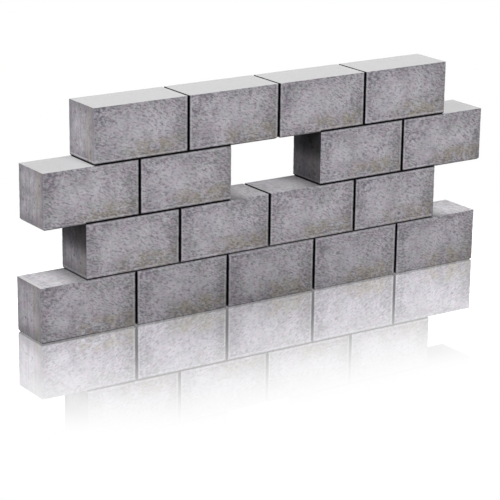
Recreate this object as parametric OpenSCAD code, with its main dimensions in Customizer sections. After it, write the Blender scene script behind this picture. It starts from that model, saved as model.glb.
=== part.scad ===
// Dry stack of solid concrete blocks: four courses in half bond, toothed at both ends,
// with one block left out of the third course.
// Millimetres. X runs along the stack, Y from its front to its back, and Z is up.
// The origin is on the floor, under the middle of the first course.

/* [Block] */
// Length of a block, end to end
block_length = 390; // [240:5:600]
// Height of a block, bed to bed
block_height = 210; // [100:5:300]
// Depth of a block, front to back
block_depth = 180; // [90:5:300]

/* [Block edges] */
// Chamfer around the lower bed, which the joint between two courses shows
lower_chamfer = 6; // [1:0.5:12]
// Chamfer on the four upright edges
upright_chamfer = 2; // [0.5:0.5:6]

/* [Stack] */
// Number of courses
courses = 4; // [1:1:6]
// Blocks in the long courses, which are the first, third and so on
long_course_blocks = 5; // [2:1:7]
// Open joint between two blocks of a course
open_joint = 9; // [2:1:20]
// How far each course sits along from the half bond, lowest course first
course_shift = [0, -12, 16, 24]; // [-40:1:40]

/* [Missing block] */
// Course that has the gap
gap_course = 3; // [1:1:6]
// Place of the missing block in that course, counted from the left
gap_place = 3; // [1:1:7]

/* [Hidden] */
concrete_grey = "#9d999f";
block_pitch = block_length + open_joint;

function blocks_in(course) = course % 2 == 1 ? long_course_blocks : long_course_blocks - 1;
function is_missing(course, place) = course == gap_course && place == gap_place;
function shift_of(course) = course <= len(course_shift) ? course_shift[course - 1] : 0;
function block_x(course, place) = (place - (blocks_in(course) + 1) / 2) * block_pitch + shift_of(course);
function bed_z(course) = (course - 1) * block_height;
function block_name(course, place) = str("course_", course, "_block_", place);

// Upright outline of a block, standing on its lower bed, which is chamfered at both sides.
module upright_outline(width) {
    side = width / 2;
    bed = side - lower_chamfer;
    polygon([
        [-bed, 0],
        [bed, 0],
        [side, lower_chamfer],
        [side, block_height],
        [-side, block_height],
        [-side, lower_chamfer],
    ]);
}

// Plan of a block, with the four upright edges taken off.
module plan_outline() {
    end = block_length / 2;
    face = block_depth / 2;
    polygon([
        [-end + upright_chamfer, -face],
        [end - upright_chamfer, -face],
        [end, -face + upright_chamfer],
        [end, face - upright_chamfer],
        [end - upright_chamfer, face],
        [-end + upright_chamfer, face],
        [-end, face - upright_chamfer],
        [-end, -face + upright_chamfer],
    ]);
}

// One block, centred on its lower bed: what its front, end and plan outlines have in common.
module block() {
    color(concrete_grey)
        intersection() {
            rotate([90, 0, 0])
                linear_extrude(block_depth, center = true)
                    upright_outline(block_length);
            rotate([90, 0, 90])
                linear_extrude(block_length, center = true)
                    upright_outline(block_depth);
            linear_extrude(block_height)
                plan_outline();
        }
}

// A block in its place in the bond, resting on the course below or on the floor.
module laid_block(course, place) {
    translate([block_x(course, place), 0, bed_z(course)])
        block();
}

for (course = [1:courses], place = [1:blocks_in(course)])
    if (!is_missing(course, place))
        laid_block(course, place);
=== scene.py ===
# %% [markdown]
# # Dry stack of concrete blocks
# Seventeen solid concrete blocks stand on each other in half bond, without mortar, and the third
# course has an empty place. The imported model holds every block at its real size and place. This
# lesson gives each block the rough skin of cast concrete, and then sets the view, floor and light.

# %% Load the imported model
import math
import random

import bmesh
import bpy
import numpy as np
from mathutils import Matrix, Vector, kdtree, noise


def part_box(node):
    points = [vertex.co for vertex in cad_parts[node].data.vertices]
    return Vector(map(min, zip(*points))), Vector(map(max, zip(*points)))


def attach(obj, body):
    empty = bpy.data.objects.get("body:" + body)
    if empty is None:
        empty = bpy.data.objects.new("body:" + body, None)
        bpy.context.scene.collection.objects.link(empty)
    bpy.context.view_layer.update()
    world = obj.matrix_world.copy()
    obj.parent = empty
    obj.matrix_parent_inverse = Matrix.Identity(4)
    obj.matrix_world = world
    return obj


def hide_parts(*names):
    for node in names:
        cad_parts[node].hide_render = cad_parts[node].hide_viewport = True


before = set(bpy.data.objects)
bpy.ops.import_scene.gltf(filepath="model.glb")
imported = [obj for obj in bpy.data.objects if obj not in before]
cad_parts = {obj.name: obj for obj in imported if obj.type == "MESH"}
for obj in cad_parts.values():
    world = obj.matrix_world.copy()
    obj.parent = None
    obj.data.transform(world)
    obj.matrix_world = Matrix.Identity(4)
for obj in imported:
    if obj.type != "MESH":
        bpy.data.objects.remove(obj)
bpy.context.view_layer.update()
block_boxes = {name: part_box(name) for name in sorted(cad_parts)}

# %% [markdown]
# ## Camera
# The stack is seen from its left front corner, from somewhat above, through a long lens, so that its
# courses stay almost parallel. A camera's matrix has its right, up and backward directions as
# columns. Building those three from the turn and tilt of the view is plainer than juggling angles.

# %% Place the camera
VIEW_TURN = math.radians(34.05)  # to the left of square on
VIEW_TILT = math.radians(16.90)  # down from level
VIEW_ROLL = math.radians(0.72)  # about the line of sight
CAMERA_PLACE = Vector((-4.2939, -6.2967, 2.4888))
LENS = 149.3  # millimetres, as the sensor's width is
SENSOR_WIDTH = 36.0

level_forward = Vector((math.sin(VIEW_TURN), math.cos(VIEW_TURN), 0.0))
forward = level_forward * math.cos(VIEW_TILT) - Vector((0.0, 0.0, math.sin(VIEW_TILT)))
right = Vector((math.cos(VIEW_TURN), -math.sin(VIEW_TURN), 0.0))
directions = Matrix((right, right.cross(forward), -forward)).transposed()

lens = bpy.data.cameras.new("camera")
lens.lens = LENS
lens.sensor_width = SENSOR_WIDTH
camera = bpy.data.objects.new("camera", lens)
turned = directions @ Matrix.Rotation(VIEW_ROLL, 3, "Z")
camera.matrix_world = Matrix.Translation(CAMERA_PLACE) @ turned.to_4x4()
bpy.context.collection.objects.link(camera)
bpy.context.scene.camera = camera

# %% [markdown]
# ## One plain block
# A block leaves its mould as a sharp box with a chamfer around its lower bed, the face it is laid on.
# Where one block sits on another, that chamfer is the thin dark line of the joint. A cube drawn out
# to the size of the upright sides, with its underside inset and let down, is that shape. The edges
# are then cut into a fine grid, one direction at a time, so that the skin has vertices to move.

# %% Model a plain block
LOWER_CHAMFER = 0.006
GRID = 0.004  # spacing of the skin's vertices

first_low, first_high = next(iter(block_boxes.values()))
block_size = first_high - first_low


def edge_run(edge):
    """Which way an edge runs: along, across or up the block, or down its chamfer."""
    start, end = (corner.co for corner in edge.verts)
    if start.z * end.z < 0:
        return "up"
    if abs(start.z - end.z) > LOWER_CHAMFER / 2:
        return "chamfer"
    return "along" if abs(start.x - end.x) > abs(start.y - end.y) else "across"


plain = bmesh.new()
bmesh.ops.create_cube(plain, size=1.0)
sides = Vector((block_size.x, block_size.y, block_size.z - LOWER_CHAMFER))
bmesh.ops.scale(plain, vec=sides, verts=plain.verts)
bmesh.ops.translate(plain, vec=(0.0, 0.0, LOWER_CHAMFER / 2), verts=plain.verts)
plain.normal_update()
underside = min(plain.faces, key=lambda face: face.calc_center_median().z)
bmesh.ops.inset_individual(
    plain, faces=[underside], thickness=LOWER_CHAMFER, depth=LOWER_CHAMFER, use_even_offset=True
)
lengths = {"along": block_size.x, "across": block_size.y, "up": block_size.z}
for run, length in lengths.items():
    edges = [edge for edge in plain.edges if edge_run(edge) == run]
    bmesh.ops.subdivide_edges(plain, edges=edges, cuts=round(length / GRID) - 1, use_grid_fill=True)
plain.normal_update()
print(f"plain block: {len(plain.verts)} vertices, {len(plain.faces)} faces")

# %% [markdown]
# ## What the skin needs to know
# Every block shares this grid, so its facts are worked out once: which faces of the block a vertex
# lies on, and so which way is inwards, where it is between the block's corners, how near it is to
# the border of its face, and which faces are beds or ends. Vertices on two faces, or at the top of
# the chamfer, are on an arris, which is where a block wears first.

# %% Measure the plain block
NEAR = 1e-5
SLOPING = 0.5  # least upright part of a normal on beds and chamfers
FLAT = 0.9  # and on beds alone
FACING = 0.6  # least part of a normal along the way that a side looks

half = np.array(block_size) / 2
grid_place = np.array([corner.co for corner in plain.verts])
rise = np.array((0.0, 0.0, LOWER_CHAMFER / 2))
grid_share = np.clip((grid_place - rise) / (half - rise), -1, 1)
inward = -np.sign(grid_place) * (np.abs(grid_place) > half - NEAR)
over_chamfer = np.abs(grid_place[:, 2] + half[2] - LOWER_CHAMFER) < NEAR
on_arris = ((np.abs(inward).sum(axis=1) > 1) | over_chamfer).astype(float)
to_border = np.sort(np.abs(grid_share), axis=1)[:, 1]  # 0 in the middle of a face, 1 at its border
face_middle = np.array([face.calc_center_median() for face in plain.faces])
face_normal = np.array([face.normal for face in plain.faces])
level = np.abs(face_normal[:, 2:]) > SLOPING
face_axis = np.sign(face_normal) * np.where(level, (0, 0, 1), np.abs(face_normal) > FACING)
corner_vertex = np.array([corner.index for face in plain.faces for corner in face.verts])
corner_face = np.array([face.index for face in plain.faces for corner in face.verts])
is_bed = (np.abs(face_normal[:, 2]) > FLAT).astype(float)
is_end = (np.abs(face_normal[:, 0]) > FACING).astype(float)

grid_tree = kdtree.KDTree(len(grid_place))
for index, point in enumerate(grid_place):
    grid_tree.insert(point, index)
grid_tree.balance()
print(f"{int(on_arris.sum())} vertices on arrises, {int(is_bed.sum())} faces on beds")

# %% [markdown]
# ## Relief
# Cast concrete is never flat. Its faces wave, and they are dragged rough from side to side, most of
# all near their borders. Moving the grid inwards by three noises of falling size gives that relief,
# and because it only moves inwards, no block outgrows its real size.

# %% Shape the relief
WAVE, DRAG, FINE = 0.0004, 0.0011, 0.0005  # depths of the three sizes of relief
WAVE_PITCH = Vector((15.0, 15.0, 15.0))  # features a metre
DRAG_PITCH = Vector((38.0, 38.0, 85.0))
FINE_PITCH = Vector((80.0, 80.0, 120.0))
CALM_MIDDLE = 0.55  # share of the relief that is left in the middle of a face
ARRIS_SHARE = 0.3  # the arrises stay nearer to the mould

liveliness = CALM_MIDDLE + (1 - CALM_MIDDLE) * np.clip(2 * to_border - 1, 0, 1)
liveliness = np.where(on_arris > 0, ARRIS_SHARE, liveliness)


def cast_depth(point):
    """How far the cast surface lies behind the plane of the mould, where it is at its roughest."""
    wave = 0.5 + 0.5 * noise.noise(point * WAVE_PITCH)
    drag = abs(noise.noise(point * DRAG_PITCH))
    fine = 0.5 + 0.5 * noise.noise(point * FINE_PITCH)
    return WAVE * wave + DRAG * drag + FINE * fine


print(f"relief up to {1000 * (WAVE + DRAG + FINE):.1f} mm deep")

# %% [markdown]
# ## Pits
# Air that was caught against the mould leaves small round pits, many of them at the upper left of a
# block. They are sunk one by one, around points of a dice that is seeded with the block's name, so
# that every run gives the same pits. A tree of the grid's vertices finds quickly which a pit takes in.

# %% Sink the pits
FACE_PITS, END_PITS = 120, 12  # tries on a front or back, and pits on an end
PIT_RADIUS = (0.0045, 0.0095)
PIT_STEEPNESS = (0.16, 0.30)  # depth of a pit, as a share of its radius
LONG_SPREAD, SHORT_SPREAD = 0.97, 0.95  # how near pits come to the borders of a face, which are at 1
CROWD_LEFT, CROWD_UP = -0.2, 0.1  # pits crowd to the left of the one and above the other
THIN, CROWDED = 0.10, 1.2  # chance of a pit away from the crowd, and its growth into the corner


def pit_places(dice):
    """Middles of the pits of one block: thick towards the upper left, thin elsewhere."""
    for side in (-1, 1):
        for _ in range(FACE_PITS):
            across = dice.uniform(-LONG_SPREAD, LONG_SPREAD)
            up = dice.uniform(-SHORT_SPREAD, SHORT_SPREAD)
            crowding = THIN + CROWDED * max(0.0, up - CROWD_UP) * max(0.0, CROWD_LEFT - across)
            if dice.random() < crowding:
                yield Vector((across * half[0], side * half[1], up * half[2]))
        for _ in range(END_PITS):
            across = dice.uniform(-SHORT_SPREAD, SHORT_SPREAD)
            up = dice.uniform(-SHORT_SPREAD, SHORT_SPREAD)
            yield Vector((side * half[0], across * half[1], up * half[2]))


def sink_pits(dice):
    """Depth of the pits at each vertex, and how far down its pit the vertex is, from 0 to 1."""
    depth = np.zeros(len(grid_place))
    share = np.zeros(len(grid_place))
    for middle in pit_places(dice):
        radius = dice.uniform(*PIT_RADIUS)
        deepest = radius * dice.uniform(*PIT_STEEPNESS)
        for _, index, distance in grid_tree.find_range(middle, radius):
            fall = 1 - (distance / radius) ** 2
            share[index] = max(share[index], fall)
            depth[index] = max(depth[index], deepest * fall)
    return depth, share


print(f"pits up to {1000 * PIT_RADIUS[1] * PIT_STEEPNESS[1]:.1f} mm deep")

# %% [markdown]
# ## Joints
# Little light gets between two blocks, and dust settles there, so a joint reads as a black line.
# A face that looks straight into a neighbour a few millimetres away is marked, and the finish paints
# it dark with dust and painted shade. The test is simple: step out from the middle of the face and
# see if that is inside a block or an open joint. Vertices within a few steps of the grid are marked
# too, for painted shade and for a pale rim beside the joint.

# %% Find what looks into a joint
JOINT_REACH = 0.012
JOINT_RIM_STEPS = 3  # steps of the grid beside a joint, which get a pale rim

solid_boxes = list(block_boxes.values())
filled_boxes = list(solid_boxes)
for low, high in solid_boxes:
    for next_low, _ in solid_boxes:
        same_course = abs(next_low.z - low.z) < NEAR
        if same_course and 0 < next_low.x - high.x < JOINT_REACH:
            joint_low = Vector((high.x, low.y, low.z))
            joint_high = Vector((next_low.x, high.y, high.z))
            filled_boxes.append((joint_low, joint_high))


def inside_any(points, boxes):
    """For each point, whether it lies inside one of the boxes."""
    lows = np.array([low for low, high in boxes])
    highs = np.array([high for low, high in boxes])
    inside = (points[:, None, :] >= lows) & (points[:, None, :] <= highs)
    return inside.all(axis=2).any(axis=1)


def touched_by(marked_faces):
    """1 at each vertex that one of the marked faces has, and 0 at the others."""
    touched = np.zeros(len(grid_place))
    touched[corner_vertex[marked_faces[corner_face]]] = 1
    return touched


def near_joint(marked_faces):
    """How near each vertex is to a marked face: 1 on the face, and 0 from the last step of the rim on.
    """
    reached = touched_by(marked_faces)
    near = reached / JOINT_RIM_STEPS
    for _ in range(JOINT_RIM_STEPS - 1):
        wider = np.zeros(len(face_middle), dtype=bool)
        wider[corner_face[reached[corner_vertex] > 0]] = True
        reached = touched_by(wider)
        near = near + reached / JOINT_RIM_STEPS
    return near


def faces_in_joint(middle):
    """For each face of the block that has its middle here, whether it looks into a joint."""
    return inside_any(face_middle + middle + face_axis * JOINT_REACH, filled_boxes)


print(f"{len(filled_boxes) - len(solid_boxes)} open upright joints")

# %% [markdown]
# ## Shelter
# Shade is painted where little light reaches: on an end that is tucked under the next course, most
# of all in the gap, and on a bed beside a block that stands on it. Longer steps from the same faces
# find these places, without any painting by hand.

# %% Find what is sheltered
OVERHANG_REACH = 0.1  # an end is sheltered if the next course covers a point this far out
FACING_REACH = 0.45  # and more so if another block stands at this distance before it
OPEN_END = 0.5  # shelter of an end with nothing before it
COVERED_BED = 0.3  # shelter of a bed with a block one course above
BED_REACH = 0.125  # width of the painted shade on such a bed, beside a block that stands on it
BESIDE_SHADE = 0.58  # share of painted shade next to that block
BETWEEN_SHADE = 0.25  # and everywhere between two blocks


def stepped(middle, out, up):
    """Points a step out from the faces of the block, at so much above its middle."""
    points = face_middle + middle + face_axis * out
    points[:, 2] = middle[2] + up
    return points


def shade_on_bed(points):
    """How much shade is painted on a bed under these points, by the blocks that stand at their height.
    """
    along = points[:, 0]
    standing = [(low, high) for low, high in solid_boxes if low.z < points[0, 2] < high.z]
    shade = np.zeros(len(points))
    block_before = np.zeros(len(points), dtype=bool)
    block_after = np.zeros(len(points), dtype=bool)
    # painted shade beside each block that stands on the bed, and more between two blocks
    for low, high in standing:
        nearness = np.clip(1 - np.maximum(low.x - along, along - high.x) / BED_REACH, 0, 1)
        shade = np.maximum(shade, BESIDE_SHADE * nearness**2 * (3 - 2 * nearness))
        block_before |= high.x < along
        block_after |= low.x > along
    return 1 - (1 - shade) * (1 - BETWEEN_SHADE * (block_before & block_after))


def faces_in_shelter(middle):
    """How sheltered each end or upper bed is, from 0 to 1, which sets the shade painted on it."""
    one_up = half[2] + JOINT_REACH
    two_up = 3 * half[2] + JOINT_REACH
    overhung = inside_any(stepped(middle, OVERHANG_REACH, one_up), solid_boxes) * is_end
    faced = inside_any(stepped(middle, FACING_REACH, 0.0), solid_boxes)
    ends = overhung * np.where(faced, 1.0, OPEN_END)
    is_upper = face_axis[:, 2] > 0
    covered = is_upper * inside_any(stepped(middle, 0.0, two_up), filled_boxes)
    return ends + covered * (COVERED_BED + shade_on_bed(stepped(middle, 0.0, one_up)))


print(f"shelter of ends from {OPEN_END} in the open to 1 in the gap")

# %% [markdown]
# ## Laying the blocks
# Each block takes a copy of the plain grid to its place, and its relief is read at that place, so no
# two blocks are alike. What the finish needs is stored on the mesh: where a point is on its block,
# how near a border, an arris or a joint, how deep in a pit, and whether a face is a bed, an end,
# sheltered or in a joint.

# %% Lay the blocks
BED_SHARE = 0.2  # share of the relief on the beds, which are struck off smooth
ARRIS_WEAR = 0.0008
WEAR_PITCH = 40.0  # features a metre
SHARP_EDGE = math.radians(25)


def keep_numbers(mesh, name, domain, numbers, kind="FLOAT"):
    """Store one number, or one vector, for each vertex or face."""
    layer = mesh.attributes.new(name, kind, domain)
    field = "value" if kind == "FLOAT" else "vector"
    layer.data.foreach_set(field, np.ascontiguousarray(numbers, dtype=np.float32).ravel())


def lay_block(name):
    """Make the dressed block that stands for one node."""
    low, high = block_boxes[name]
    middle = np.array((low + high) / 2)
    pit_depth, pit_share = sink_pits(random.Random(name))
    world_place = grid_place + middle
    cast = np.array([cast_depth(Vector(point)) for point in world_place])
    wear = np.array([abs(noise.noise(Vector(point) * WEAR_PITCH)) for point in world_place])
    depth = cast * liveliness + pit_depth + on_arris * ARRIS_WEAR * wear
    move = inward * depth[:, None] * np.array((1.0, 1.0, BED_SHARE))
    mesh = bpy.data.meshes.new(name + "_cast")
    plain.to_mesh(mesh)
    mesh.vertices.foreach_set("co", (world_place + move).astype(np.float32).ravel())
    keep_numbers(mesh, "on_block", "POINT", grid_share, "FLOAT_VECTOR")
    keep_numbers(mesh, "to_border", "POINT", to_border)
    keep_numbers(mesh, "pit", "POINT", pit_share)
    keep_numbers(mesh, "arris", "POINT", on_arris)
    keep_numbers(mesh, "bed", "FACE", is_bed)
    keep_numbers(mesh, "end", "FACE", is_end)
    in_joint = faces_in_joint(middle)
    keep_numbers(mesh, "in_joint", "FACE", in_joint)
    keep_numbers(mesh, "near_joint", "POINT", near_joint(in_joint))
    keep_numbers(mesh, "sheltered", "FACE", faces_in_shelter(middle))
    mesh.shade_smooth()
    mesh.set_sharp_from_angle(angle=SHARP_EDGE)
    mesh.update()
    piece = bpy.data.objects.new(name + "_cast", mesh)
    bpy.context.collection.objects.link(piece)
    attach(piece, "root")
    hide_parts(name)
    return piece


blocks = [lay_block(name) for name in block_boxes]
plain.free()
triangles = sum(len(polygon.vertices) - 2 for block in blocks for polygon in block.data.polygons)
print(f"{len(blocks)} blocks laid, {triangles} triangles")

# %% [markdown]
# ## Wiring materials
# A material is a tree of nodes. A few short helpers keep the recipes readable: each adds a node,
# plugs numbers or other nodes into its sockets, and hands back the socket that carries the result.


# %% Helpers for wiring a material
def from_screen(red, green, blue):
    """A colour as picked on a screen, from 0 to 255, made linear for the shader."""
    steps = (value / 255 for value in (red, green, blue))
    linear = (step / 12.92 if step < 0.04045 else ((step + 0.055) / 1.055) ** 2.4 for step in steps)
    return (*linear, 1.0)


class Wiring:
    """The node tree of one new material."""

    def __init__(self, name):
        self.material = bpy.data.materials.new(name)
        self.material.use_nodes = True
        self.tree = self.material.node_tree
        self.shader = self.tree.nodes["Principled BSDF"]
        self.place = self.add("ShaderNodeTexCoord", {}).outputs["Object"]

    def plug(self, value, socket):
        """Link another node's result to a socket, or set the socket to a plain value."""
        if isinstance(value, bpy.types.NodeSocket):
            self.tree.links.new(value, socket)
        else:
            socket.default_value = value

    def add(self, kind, sockets, **settings):
        """Add a node with these settings, and plug its sockets."""
        node = self.tree.nodes.new(kind)
        for setting, value in settings.items():
            setattr(node, setting, value)
        for socket, value in sockets.items():
            self.plug(value, node.inputs[socket])
        return node

    def stored(self, name, output="Fac"):
        """Numbers that the mesh stores under a name."""
        return self.add("ShaderNodeAttribute", {}, attribute_name=name).outputs[output]

    def split(self, vector):
        """The x, y and z of a vector."""
        return self.add("ShaderNodeSeparateXYZ", {0: vector}).outputs

    def reckon(self, operation, first, second=0.0, third=0.0):
        """One step of arithmetic."""
        sockets = {0: first, 1: second, 2: third}
        return self.add("ShaderNodeMath", sockets, operation=operation).outputs[0]

    def times(self, first, *others):
        """The product of several numbers."""
        for other in others:
            first = self.reckon("MULTIPLY", first, other)
        return first

    def ramp(self, value, start, stop, top=1.0):
        """0 at start and top at stop, with a smooth rise between; start may be the greater."""
        sockets = {"Value": value, "From Min": start, "From Max": stop, "To Max": top}
        return self.add("ShaderNodeMapRange", sockets, interpolation_type="SMOOTHSTEP").outputs[0]

    def noise(self, scale, detail=3.0, roughness=0.6, place=None, distortion=0.0):
        """A cloudy noise of so many features a metre."""
        sockets = {"Vector": place or self.place, "Scale": scale, "Detail": detail}
        sockets.update({"Roughness": roughness, "Distortion": distortion})
        return self.add("ShaderNodeTexNoise", sockets).outputs["Fac"]

    def drawn_out(self, size, slant=0.0):
        """Object coordinates in which a feature has this size in metres, slanting down to the right."""
        sockets = {"Vector": self.place, "Scale": size, "Rotation": (0.0, slant, 0.0)}
        return self.add("ShaderNodeMapping", sockets, vector_type="TEXTURE").outputs[0]

    def mix(self, amount, first, second):
        """From the first colour to the second by an amount."""
        sockets = {0: amount, 6: first, 7: second}
        return self.add("ShaderNodeMix", sockets, data_type="RGBA").outputs[2]


# %% [markdown]
# ## Body of the concrete
# Concrete is never one grey. This one is lilac, cooler to the right, with rosy and mossy tints and
# with darker and paler blotches, all of them noises on Object coordinates. A ramp turns a noise,
# whose values crowd around one half, into patches. Its numbers say where a patch starts, where it is
# full, and how strong it is. The same ramps work on a place on the block, from -1 to 1 each way.

# %% Mix the body of the concrete
LILAC_GREY = from_screen(161, 155, 165)
COOL_GREY = from_screen(160, 158, 162)
ROSY_GREY = from_screen(166, 153, 163)
MOSSY_GREY = from_screen(155, 159, 160)
DARK_STROKE = from_screen(100, 97, 101)
PALE_STROKE = from_screen(190, 187, 194)
COOL_PITCH = 14.0  # this and the other pitches are features a metre
COOL_TO_RIGHT = 0.05  # how much cooler the right of a block is
TINT_PITCH = 48.0
TINT = 0.62  # this and the values like it are the share of the second colour in a mix
BLOTCH_PITCH = 17.0
BLOTCH = 0.30
MOTTLE_PITCH = 42.0
MOTTLE = 0.25

concrete = Wiring("rough_cast_concrete")
across, back, up = concrete.split(concrete.stored("on_block", "Vector"))
bed, end, in_joint = (concrete.stored(name) for name in ("bed", "end", "in_joint"))
border = concrete.ramp(concrete.stored("to_border"), 0.50, 1.0)
mottle = concrete.noise(MOTTLE_PITCH, 3.0)
cool = concrete.reckon("MULTIPLY_ADD", across, COOL_TO_RIGHT, concrete.noise(COOL_PITCH, 2.0))
cool = concrete.ramp(cool, 0.35, 0.60)
body = concrete.mix(cool, LILAC_GREY, COOL_GREY)
tint = concrete.noise(TINT_PITCH, 2.0)
body = concrete.mix(concrete.ramp(tint, 0.52, 0.36, TINT), body, ROSY_GREY)
body = concrete.mix(concrete.ramp(tint, 0.48, 0.64, TINT), body, MOSSY_GREY)
blotch = concrete.noise(BLOTCH_PITCH, 3.0, 0.55)
body = concrete.mix(concrete.ramp(blotch, 0.52, 0.32, BLOTCH), body, DARK_STROKE)
body = concrete.mix(concrete.ramp(blotch, 0.48, 0.68, BLOTCH), body, PALE_STROKE)
body = concrete.mix(concrete.ramp(mottle, 0.52, 0.30, MOTTLE), body, DARK_STROKE)
print(f"body of the concrete: {len(concrete.tree.nodes)} nodes")

# %% [markdown]
# ## Stains on the faces
# The fronts and backs are calm and pale in the middle and darker towards their borders. A brown
# stain spreads along the lower right, and the right edge is olive. Each stain is a product of ramps,
# one for each way that it fades, which is easier to steer than a painted mask and fits every block.

# %% Stain the faces
BROWN_STAIN = from_screen(143, 136, 122)
OLIVE_STAIN = from_screen(106, 103, 101)
BORDER_SHADE = 0.10
CALM_HEIGHT = 0.1  # how far up the face it is calmest
CALM_PALE = 0.2
STAIN_PITCH = 22.0
BROWN = 0.75
OLIVE = 0.4

face = concrete.mix(concrete.times(border, BORDER_SHADE), body, DARK_STROKE)
off_middle = concrete.reckon("ABSOLUTE", concrete.reckon("SUBTRACT", up, CALM_HEIGHT))
calm = concrete.times(concrete.ramp(off_middle, 0.6, 0.0), concrete.ramp(border, 0.7, 0.0), CALM_PALE)
face = concrete.mix(calm, face, PALE_STROKE)
patches = concrete.ramp(concrete.noise(STAIN_PITCH, 3.0), 0.40, 0.58)
low_right = concrete.times(concrete.ramp(across, -0.5, 0.1), concrete.ramp(up, -0.2, -0.6))
face = concrete.mix(concrete.times(low_right, patches, BROWN), face, BROWN_STAIN)
right_edge = concrete.times(concrete.ramp(across, 0.6, 1.05), concrete.ramp(up, 1.2, -0.7))
face = concrete.mix(concrete.times(right_edge, OLIVE), face, OLIVE_STAIN)
print(f"with stains: {len(concrete.tree.nodes)} nodes")

# %% [markdown]
# ## Strokes, pocks and scrapes
# The mould drags the wet face into short dark and pale strokes, which crowd towards the borders and
# in the brown stain. The upper left corner is full of purple pocks, and longer scrapes run down the
# upper right. A noise read in coordinates that are drawn out and turned makes such slanting marks.

# %% Mark the faces
STROKE_SIZE = (0.015, 0.015, 0.0065)
STROKE_SLANT = math.radians(18)
STROKE_BEND = 0.6
BORDER_CROWDING = -0.06  # added to the noise, so that more of it falls below the dark strokes' start
STAIN_CROWDING = -0.03
STROKE_DARK = 0.57  # in the middle of a face
BORDER_DARK = 0.18  # more at its border
STROKE_PALE = 0.30
POCK_PURPLE = from_screen(88, 81, 98)
POCK_PITCH = 75.0
POCKS = 0.5
SCRAPE_SIZE = (0.022, 0.022, 0.006)
SCRAPE_SLANT = math.radians(38)
SCRAPES = 0.6

stroke_place = concrete.drawn_out(STROKE_SIZE, STROKE_SLANT)
strokes = concrete.noise(1.0, 2.5, 0.6, stroke_place, STROKE_BEND)
crowded = concrete.reckon("MULTIPLY_ADD", border, BORDER_CROWDING, strokes)
crowded = concrete.reckon("MULTIPLY_ADD", low_right, STAIN_CROWDING, crowded)
darkness = concrete.reckon("MULTIPLY_ADD", border, BORDER_DARK, STROKE_DARK)
face = concrete.mix(concrete.times(concrete.ramp(crowded, 0.49, 0.33), darkness), face, DARK_STROKE)
face = concrete.mix(concrete.ramp(crowded, 0.49, 0.68, STROKE_PALE), face, PALE_STROKE)
upper_left = concrete.times(concrete.ramp(across, 0.0, -0.9), concrete.ramp(up, -0.2, 0.7))
pocks = concrete.ramp(concrete.noise(POCK_PITCH, 2.0), 0.52, 0.36)
face = concrete.mix(concrete.times(upper_left, pocks, POCKS), face, POCK_PURPLE)
right_half = concrete.times(concrete.ramp(across, -0.4, 0.5), concrete.ramp(up, -0.9, 0.1))
scrapes = concrete.noise(1.0, 2.0, 0.5, concrete.drawn_out(SCRAPE_SIZE, SCRAPE_SLANT))
scrapes = concrete.ramp(scrapes, 0.48, 0.34)
face = concrete.mix(concrete.times(right_half, scrapes, SCRAPES), face, DARK_STROKE)
print(f"with strokes, pocks and scrapes: {len(concrete.tree.nodes)} nodes")

# %% [markdown]
# ## Ends and beds
# The ends are streaked from top to bottom and finely grained, dark at their borders and foot, with
# a brown band near the front. The beds were struck off with a board, so they are pale and smooth.
# A noise drawn out to a tall, narrow size gives the streaks. The mesh itself tells ends and beds from
# the other faces, so one material can serve the whole block.

# %% Streak the ends and pale the beds
STREAK_SIZE = (0.012, 0.012, 0.11)
STREAKS = 0.35
GRAIN_PITCH = 110.0
GRAIN = 0.30
END_BORDER_SHADE = 0.45
END_FOOT_SHADE = 0.3
BAND = 0.45
BED_GREY = from_screen(153, 153, 153)
BED_MOTTLE = 0.15
BED_STROKES = 0.08

streaks = concrete.noise(1.0, 3.0, 0.55, concrete.drawn_out(STREAK_SIZE))
grain = concrete.noise(GRAIN_PITCH, 3.0, 0.6)
ends = concrete.mix(concrete.ramp(streaks, 0.55, 0.35, STREAKS), body, DARK_STROKE)
ends = concrete.mix(concrete.ramp(grain, 0.50, 0.30, GRAIN), ends, DARK_STROKE)
ends = concrete.mix(concrete.ramp(grain, 0.50, 0.70, GRAIN), ends, PALE_STROKE)
ends = concrete.mix(concrete.times(border, END_BORDER_SHADE), ends, DARK_STROKE)
ends = concrete.mix(concrete.ramp(up, -0.5, -1.0, END_FOOT_SHADE), ends, DARK_STROKE)
band = concrete.times(concrete.ramp(back, -1.0, -0.75), concrete.ramp(back, -0.15, -0.5))
ends = concrete.mix(concrete.times(band, concrete.ramp(streaks, 0.35, 0.6), BAND), ends, BROWN_STAIN)
bed_skin = concrete.mix(concrete.ramp(mottle, 0.3, 0.7, BED_MOTTLE), BED_GREY, LILAC_GREY)
bed_skin = concrete.mix(concrete.ramp(strokes, 0.50, 0.33, BED_STROKES), bed_skin, DARK_STROKE)
print(f"with ends and beds: {len(concrete.tree.nodes)} nodes")

# %% [markdown]
# ## Wear
# Pits hold dirt, and arrises are worn pale. A narrow rim beside each joint is made paler too. The
# numbers stored on the mesh put each mark where the shape asks for it, and the mottles break it up,
# because wear is never even.

# %% Wear the edges
PIT_DIRT = 0.45
RIM_PALE = 0.42
ARRIS_PALE = 0.15

colour = concrete.mix(end, face, ends)
pit_dirt = concrete.ramp(concrete.stored("pit"), 0.1, 0.9, PIT_DIRT)
colour = concrete.mix(pit_dirt, colour, POCK_PURPLE)
near = concrete.stored("near_joint")
# a pale rim beside each joint
rim = concrete.times(concrete.ramp(near, 0.05, 0.45), concrete.ramp(near, 0.85, 0.5))
rim = concrete.times(rim, concrete.ramp(mottle, 0.2, 0.6), RIM_PALE)
arris = concrete.ramp(concrete.stored("arris"), 0.2, 1.0)
arris = concrete.times(arris, concrete.ramp(mottle, 0.35, 0.6), ARRIS_PALE)
colour = concrete.mix(concrete.reckon("MAXIMUM", rim, arris), colour, PALE_STROKE)
print(f"with wear: {len(concrete.tree.nodes)} nodes")
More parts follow.
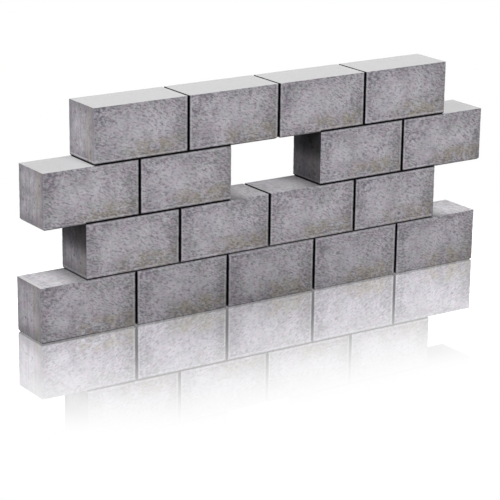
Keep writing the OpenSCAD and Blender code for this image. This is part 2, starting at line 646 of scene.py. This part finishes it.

# %% [markdown]
# ## Painted shade
# Shade is painted on what is sheltered, and on sheltered ends most of all at their top. Shade is
# also painted near the floor, darkest near the middle of the stack, with a painted shadow line along
# the foot. All of it is a mix towards one near black. The shade near the floor is measured on Object
# coordinates, because it belongs to the stack and not to any one block.

# %% Paint shade on the ends, the foot and the beds
# near black of all the painted shade
PAINTED_SHADE = from_screen(11, 11, 13)
TOP_SHADE, TOP_SHADE_IN_GAP = 0.81, 0.06  # at the top of a sheltered end, and more with full shelter
LOW_SHADE, LOW_SHADE_IN_GAP = 0.25, 0.30  # the same at its bottom
LOWER_COURSE_SHADE = 0.05  # on the lower courses
DARKEST_ALONG = -0.12  # where along the foot the painted shade is darkest
NEAR_FLOOR_SHADE, DARKEST_SHADE = 0.06, 0.31  # at the foot, and more at that place
FOOT_LINE, FOOT_LINE_AT_LEFT = 0.25, 0.5  # along the foot, and more at the left end
SHELTERED_ROUGH = 0.5  # share of the faces' look on a sheltered bed

sheltered = concrete.stored("sheltered")
# painted shade on sheltered ends, darkest at their top
shade_top = concrete.reckon("MULTIPLY_ADD", sheltered, TOP_SHADE_IN_GAP, TOP_SHADE)
shade_low = concrete.reckon("MULTIPLY_ADD", sheltered, LOW_SHADE_IN_GAP, LOW_SHADE)
shade_top = concrete.times(shade_top, concrete.ramp(up, -0.9, 0.35))
shade_end = concrete.reckon("MAXIMUM", shade_top, shade_low)
shade_end = concrete.times(shade_end, concrete.ramp(sheltered, 0.0, 0.3))
colour = concrete.mix(shade_end, colour, PAINTED_SHADE)
along, _, height = concrete.split(concrete.place)
# painted shade on the lower courses
colour = concrete.mix(concrete.ramp(height, 0.65, 0.25, LOWER_COURSE_SHADE), colour, PAINTED_SHADE)
# painted shade near the floor, darkest near the middle of the stack
from_darkest = concrete.reckon("ABSOLUTE", concrete.reckon("SUBTRACT", along, DARKEST_ALONG))
near_floor = concrete.reckon("ADD", concrete.ramp(from_darkest, 0.75, 0.10, DARKEST_SHADE), NEAR_FLOOR_SHADE)
colour = concrete.mix(concrete.times(concrete.ramp(height, 0.30, -0.05), near_floor), colour, PAINTED_SHADE)
# painted shadow line along the foot, where the blocks meet the floor
foot_line = concrete.ramp(along, -0.65, -0.90, FOOT_LINE_AT_LEFT)
foot_line = concrete.reckon("ADD", foot_line, FOOT_LINE)
foot_line = concrete.times(foot_line, concrete.ramp(height, 0.009, 0.003))
colour = concrete.mix(foot_line, colour, PAINTED_SHADE)
bed_skin = concrete.mix(concrete.ramp(sheltered, 0.0, 0.3, SHELTERED_ROUGH), bed_skin, face)
# painted shade on a covered bed beside the blocks that stand on it
bed_skin = concrete.mix(concrete.reckon("SUBTRACT", sheltered, COVERED_BED), bed_skin, PAINTED_SHADE)
colour = concrete.mix(bed, colour, bed_skin)
print(f"with damp: {len(concrete.tree.nodes)} nodes")

# %% [markdown]
# ## Dust and painted shade in the joints
# Dust and painted shade make the joints black, and painted shade darkens the arrises beside them. It
# is left off the open beds, and it is thinner in the first bed joint, the one nearest the floor. Faces
# that look into a joint take all of the darkness, and the vertices next to them a part of it, so a
# joint is a dark line with soft sides from wherever it is seen.

# %% Fill the joints with dust and painted shade
JOINT_DUST_AND_SHADE = from_screen(8, 8, 10)
ARRIS_JOINT_SHADE = 0.8  # how much painted shade is on the arrises beside a joint
FIRST_JOINT_SPARED = 0.85  # share of it that is gone from the first bed joint's arrises
FIRST_JOINT_THINNED = -0.28  # change of the dust and painted shade inside that joint, times the share spared

open_bed = concrete.times(bed, concrete.ramp(sheltered, 0.3, 0.0))
by_bed_joint = concrete.ramp(concrete.reckon("ABSOLUTE", up), 0.90, 0.98)
first_joint = concrete.times(by_bed_joint, concrete.ramp(height, 0.40, 0.25, FIRST_JOINT_SPARED))
spared = concrete.reckon("MAXIMUM", open_bed, first_joint)
# painted shade on the arrises beside a joint, none on the open beds
arris_shade = concrete.ramp(near, 0.73, 1.0, ARRIS_JOINT_SHADE)
arris_shade = concrete.times(arris_shade, concrete.reckon("SUBTRACT", 1.0, spared))
thinned = concrete.reckon("MULTIPLY_ADD", first_joint, FIRST_JOINT_THINNED, 1.0)
# dust and painted shade inside the joints, and painted shade beside them
dust_and_shade = concrete.reckon("MAXIMUM", concrete.times(in_joint, thinned), arris_shade)
colour = concrete.mix(dust_and_shade, colour, JOINT_DUST_AND_SHADE)
concrete.plug(colour, concrete.shader.inputs["Base Color"])
print(f"with dust: {len(concrete.tree.nodes)} nodes")

# %% [markdown]
# ## Surface
# Dry concrete is rough and hardly shines. The relief of the mesh stops at the spacing of its grid,
# so what is finer, the strokes and the grain, is a bump in the shader. The beds get little of it.

# %% Set the surface
ROUGHNESS = 0.88
SHINE = 0.05
GRAIN_IN_BUMP = 0.5  # height of the grain against that of the strokes
MIDDLE_BUMP, BORDER_BUMP = 0.30, 0.25  # strength in the middle of a face, and more at its border
BUMP_HEIGHT = 0.0015

concrete.shader.inputs["Roughness"].default_value = ROUGHNESS
concrete.shader.inputs["Specular IOR Level"].default_value = SHINE
heights = concrete.reckon("MULTIPLY_ADD", grain, GRAIN_IN_BUMP, strokes)
strength = concrete.reckon("MULTIPLY_ADD", border, BORDER_BUMP, MIDDLE_BUMP)
strength = concrete.times(strength, concrete.ramp(bed, 1.25, 0.0))
bump_sockets = {"Height": heights, "Strength": strength, "Distance": BUMP_HEIGHT}
bump = concrete.add("ShaderNodeBump", bump_sockets)
concrete.plug(bump.outputs[0], concrete.shader.inputs["Normal"])
for block in blocks:
    block.data.materials.append(concrete.material)
print(f"{concrete.material.name}: {len(concrete.tree.nodes)} nodes on {len(blocks)} blocks")

# %% [markdown]
# ## Floor
# The stack stands on a white studio floor that fills the view and mirrors it, less and less with
# distance. The mirror brightens what it shows, so that mirrored concrete is pale while mirrored
# joints stay dark. Glowing evenly, the floor shows no shadow. It is kept out of the light that falls
# on the blocks, because so large a white sheet would wash the shade out of the gap and toothed ends.

# %% Lay the floor
FLOOR_REACH = 40.0
WHITE = (1.0, 1.0, 1.0, 1.0)
MIRROR_SHARE = 0.81  # of the floor's light, next to the blocks
MIRROR_FULL = 0.15  # distance up to which the mirror keeps that share
MIRROR_FADE = 1.0  # distance at which nothing is mirrored any more
MIRROR_REACH = Vector((0.75, 0.09))  # half of the patch around which it fades
MIRROR_TINT = (1.69, 1.68, 1.73, 1.0)  # over 1, so it brightens
MIRROR_BLUR = 0.01

ground = bmesh.new()
bmesh.ops.create_grid(ground, x_segments=1, y_segments=1, size=FLOOR_REACH)
floor_mesh = bpy.data.meshes.new("studio_floor")
ground.to_mesh(floor_mesh)
ground.free()
floor = bpy.data.objects.new("studio_floor", floor_mesh)
floor.visible_diffuse = False
floor.visible_shadow = False
bpy.context.collection.objects.link(floor)

gloss = Wiring("polished_white_floor")
squares = []
for way, side in zip(gloss.split(gloss.place), MIRROR_REACH):
    past = gloss.reckon("SUBTRACT", gloss.reckon("ABSOLUTE", way), side)
    squares.append(gloss.reckon("POWER", gloss.reckon("MAXIMUM", past, 0.0), 2.0))
distance = gloss.reckon("SQRT", gloss.reckon("ADD", *squares))
share = gloss.ramp(distance, MIRROR_FADE, MIRROR_FULL, MIRROR_SHARE)
glow = gloss.add("ShaderNodeEmission", {"Color": WHITE, "Strength": 1.0})
mirror = gloss.add("ShaderNodeBsdfGlossy", {"Color": MIRROR_TINT, "Roughness": MIRROR_BLUR})
surface = gloss.add("ShaderNodeMixShader", {0: share, 1: glow.outputs[0], 2: mirror.outputs[0]})
gloss.plug(surface.outputs[0], gloss.tree.nodes["Material Output"].inputs["Surface"])
gloss.tree.nodes.remove(gloss.shader)
floor_mesh.materials.append(gloss.material)
print(f"floor {2 * FLOOR_REACH:.0f} m square, mirror fades out over {MIRROR_FADE} m")

# %% [markdown]
# ## Light
# Four soft lamps stand square to the four sides. The front and left ones are strong, and the back
# and right ones are weaker and keep those sides readable. A lamp overhead casts no shadow, so that
# all the beds are bright. One more shines up through the floor in place of the floor's own light,
# and brightens the chamfer along the foot.

# %% Hang the lamps
LAMP_SPREAD = math.radians(40)  # softness of the shadows


def hang_lamp(name, side, height, light, shadow=True):
    """A far lamp, by the side it lights, its height in degrees and how bright it makes that side."""
    slope = math.radians(height)
    lamp = bpy.data.lights.new(name, "SUN")
    lamp.energy = light * math.pi / math.cos(slope)
    lamp.angle = LAMP_SPREAD if shadow else 0.0
    lamp.use_shadow = shadow
    holder = bpy.data.objects.new(name, lamp)
    source = Vector(side) * math.cos(slope) + Vector((0.0, 0.0, math.sin(slope)))
    holder.rotation_euler = source.to_track_quat("Z", "Y").to_euler()
    bpy.context.collection.objects.link(holder)


hang_lamp("front_lamp", (0, -1, 0), 45, 0.83)
hang_lamp("left_lamp", (-1, 0, 0), 18, 0.83)
hang_lamp("back_lamp", (0, 1, 0), 20, 0.5)
hang_lamp("right_lamp", (1, 0, 0), 20, 0.5)
hang_lamp("overhead_lamp", (0, 0, 1), 0, 0.57, shadow=False)
hang_lamp("floor_lamp", (0, 0, -1), 0, 0.6)
print(f"{len(bpy.data.lights)} lamps")

# %% [markdown]
# ## Sky
# The sky is white where it is seen or mirrored, but it lights the blocks little, so what lies under
# an overhang falls into deep shade. A Light Path node tells the light on the blocks from the rest.

# %% Make the sky
SKY_ON_BLOCKS = 0.05
SKY_SEEN = 1.0

sky = bpy.data.worlds.new("white_sky")
sky.use_nodes = True
sky.cycles.sampling_method = "NONE"
background = sky.node_tree.nodes["Background"]
background.inputs["Color"].default_value = WHITE
ray_kind = sky.node_tree.nodes.new("ShaderNodeLightPath")
brightness = sky.node_tree.nodes.new("ShaderNodeMapRange")
brightness.inputs["To Min"].default_value = SKY_SEEN
brightness.inputs["To Max"].default_value = SKY_ON_BLOCKS
sky.node_tree.links.new(ray_kind.outputs["Is Diffuse Ray"], brightness.inputs["Value"])
sky.node_tree.links.new(brightness.outputs[0], background.inputs["Strength"])
bpy.context.scene.world = sky
bpy.context.scene.view_settings.view_transform = "Standard"
print(f"sky {SKY_SEEN} as seen, {SKY_ON_BLOCKS} on the blocks")
